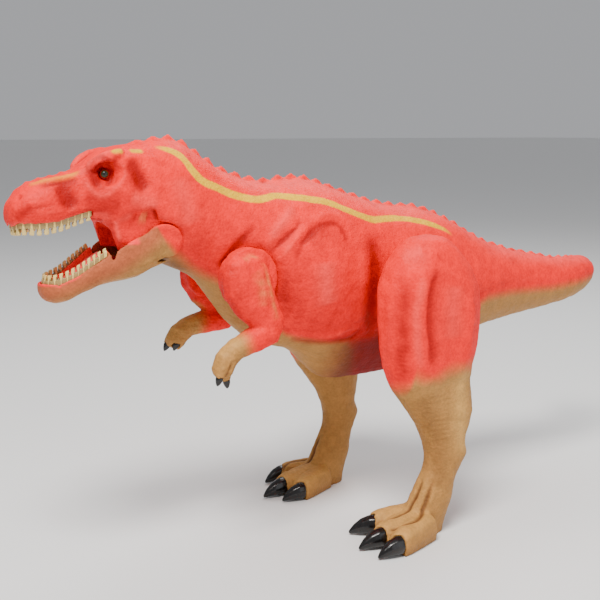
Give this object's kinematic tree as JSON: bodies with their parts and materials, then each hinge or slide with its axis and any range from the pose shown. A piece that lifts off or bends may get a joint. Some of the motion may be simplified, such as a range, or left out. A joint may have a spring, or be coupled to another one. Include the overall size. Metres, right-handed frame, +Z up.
{
  "type": "toy dinosaur figure",
  "caption": "Standing two-legged toy dinosaur figure with a hinged open jaw, toothed mouth, serrated back crest, curved tail, and swivelling arms and legs.",
  "frame": {"origin": "on the floor under the middle of the figure's bounding box, between its feet", "axes": "+Z up, -Y towards the snout, +X to the figure's left"},
  "size_m": [0.1092, 0.3167, 0.1653],
  "materials": {
    "skin_red": "satin",
    "skin_tan": "satin",
    "mouth_flesh": "satin",
    "tooth_cream": "semi-gloss",
    "claw_black": "gloss",
    "eye_green": "gloss",
    "plug_grey": "matte",
    "pin_steel": "brushed"
  },
  "bodies": {
    "body": {"body_shell": "skin_red", "eye_left": "eye_green", "eye_right": "eye_green", "upper_teeth": "tooth_cream", "jaw_pin": "pin_steel"},
    "jaw": {"lower_jaw": "skin_tan", "lower_teeth": "tooth_cream", "tongue": "mouth_flesh"},
    "left_leg": {"leg_left": "skin_tan", "hip_plug_left": "plug_grey", "toe_claw_inner_left": "claw_black", "toe_claw_middle_left": "claw_black", "toe_claw_outer_left": "claw_black"},
    "left_arm": {"arm_left": "skin_red", "shoulder_plug_left": "plug_grey", "finger_claw_front_left": "claw_black", "finger_claw_rear_left": "claw_black"},
    "right_leg": {"leg_right": "skin_tan", "hip_plug_right": "plug_grey", "toe_claw_inner_right": "claw_black", "toe_claw_middle_right": "claw_black", "toe_claw_outer_right": "claw_black"},
    "right_arm": {"arm_right": "skin_red", "shoulder_plug_right": "plug_grey", "finger_claw_front_right": "claw_black", "finger_claw_rear_right": "claw_black"}
  },
  "joints": [
    {"name": "jaw_hinge", "type": "hinge", "parent": "body", "child": "jaw", "pos_m": [0, -0.10299, 0.12546], "axis": [1, 0, 0], "range_deg": [-16, 3]},
    {"name": "hip_left", "type": "hinge", "parent": "body", "child": "left_leg", "pos_m": [0.01992, 0.00408, 0.103], "axis": [1, 0, 0], "range_deg": [-35, 35]},
    {"name": "shoulder_left", "type": "hinge", "parent": "body", "child": "left_arm", "pos_m": [0.01274, -0.06908, 0.11038], "axis": [1, 0, 0], "range_deg": [-60, 4]},
    {"name": "hip_right", "type": "hinge", "parent": "body", "child": "right_leg", "pos_m": [-0.01992, 0.00408, 0.103], "axis": [1, 0, 0], "range_deg": [-35, 35]},
    {"name": "shoulder_right", "type": "hinge", "parent": "body", "child": "right_arm", "pos_m": [-0.01274, -0.06908, 0.11038], "axis": [1, 0, 0], "range_deg": [-60, 4]}
  ]
}
